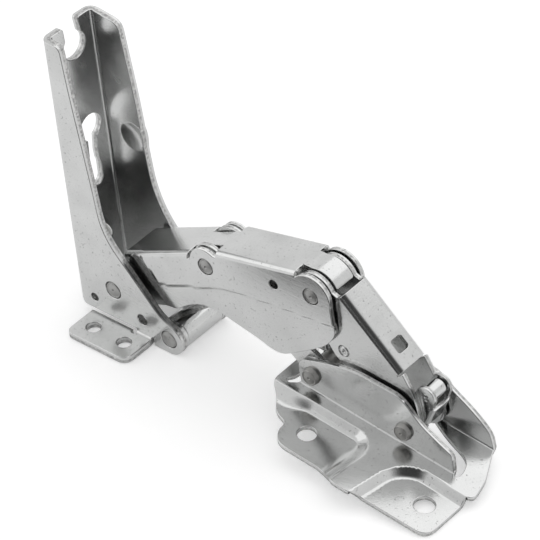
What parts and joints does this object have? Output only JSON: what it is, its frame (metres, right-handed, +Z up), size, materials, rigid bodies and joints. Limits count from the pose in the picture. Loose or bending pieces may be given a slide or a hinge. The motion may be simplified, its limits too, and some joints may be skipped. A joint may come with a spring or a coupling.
{
  "type": "refrigerator door hinge",
  "caption": "Folding linkage hinge for a built-in refrigerator door: upright channel bracket, nested levers on rivet pins, and a door plate with sunken screw feet.",
  "frame": {"origin": "middle of the bracket's two screw holes, at the underside of its foot", "axes": "+X from the bracket to the door plate, +Y along the pins away from the foot, +Z up the bracket"},
  "size_m": [0.1441, 0.0425, 0.0942],
  "materials": {
    "zinc_sheet": "bright zinc plate, satin gloss",
    "pin_steel": "matte riveted ends",
    "white_plastic": "matte"
  },
  "bodies": {
    "bracket": {"bracket": "zinc_sheet", "upper_pin": "pin_steel", "lower_pin": "pin_steel", "upper_washers": "zinc_sheet", "lower_washers": "zinc_sheet", "stop_buffer": "white_plastic"},
    "outer_lever": {"outer_lever": "zinc_sheet", "lever_pin": "pin_steel", "lever_washers": "zinc_sheet", "knuckle_pin": "pin_steel"},
    "lower_lever": {"lower_lever": "zinc_sheet"},
    "inner_lever": {"inner_lever": "zinc_sheet"},
    "swing_arm": {"swing_arm": "zinc_sheet", "arm_pin": "pin_steel", "roller_stirrup": "zinc_sheet", "roller_pin": "pin_steel"},
    "roller": {"roller": "zinc_sheet"},
    "door_plate": {"door_plate": "zinc_sheet", "plate_pin_inner": "pin_steel", "plate_pin_outer": "pin_steel"}
  },
  "joints": [
    {"name": "fold", "type": "hinge", "parent": "bracket", "child": "outer_lever", "pos_m": [-0.0018, 0.01595, 0.0136], "axis": [0, -1, 0], "range_deg": [0, 48]},
    {"name": "lower_swing", "type": "hinge", "parent": "bracket", "child": "lower_lever", "pos_m": [0.0179, 0.01595, 0.0051], "axis": [0, -1, 0], "range_deg": [0, 58.6]},
    {"name": "inner_swing", "type": "hinge", "parent": "outer_lever", "child": "inner_lever", "pos_m": [0.0325, 0.01595, 0.0361], "axis": [0, -1, 0], "range_deg": [-63.9, 0]},
    {"name": "arm_swing", "type": "hinge", "parent": "outer_lever", "child": "swing_arm", "pos_m": [0.0704, 0.01595, 0.0435], "axis": [0, -1, 0], "range_deg": [-53.3, 0]},
    {"name": "plate_swing", "type": "hinge", "parent": "swing_arm", "child": "door_plate", "pos_m": [0.1, 0.01595, 0.0111], "axis": [0, -1, 0], "range_deg": [0, 72.5]},
    {"name": "roller_spin", "type": "hinge", "parent": "swing_arm", "child": "roller", "pos_m": [0.1052, 0.01595, 0.0229], "axis": [0, 1, 0], "continuous": true}
  ],
  "couplings": [
    {"joint": "lower_swing", "follows": "fold", "ratio": 1.22},
    {"joint": "inner_swing", "follows": "fold", "ratio": -1.33},
    {"joint": "arm_swing", "follows": "fold", "ratio": -1.11},
    {"joint": "plate_swing", "follows": "fold", "ratio": 1.51}
  ]
}
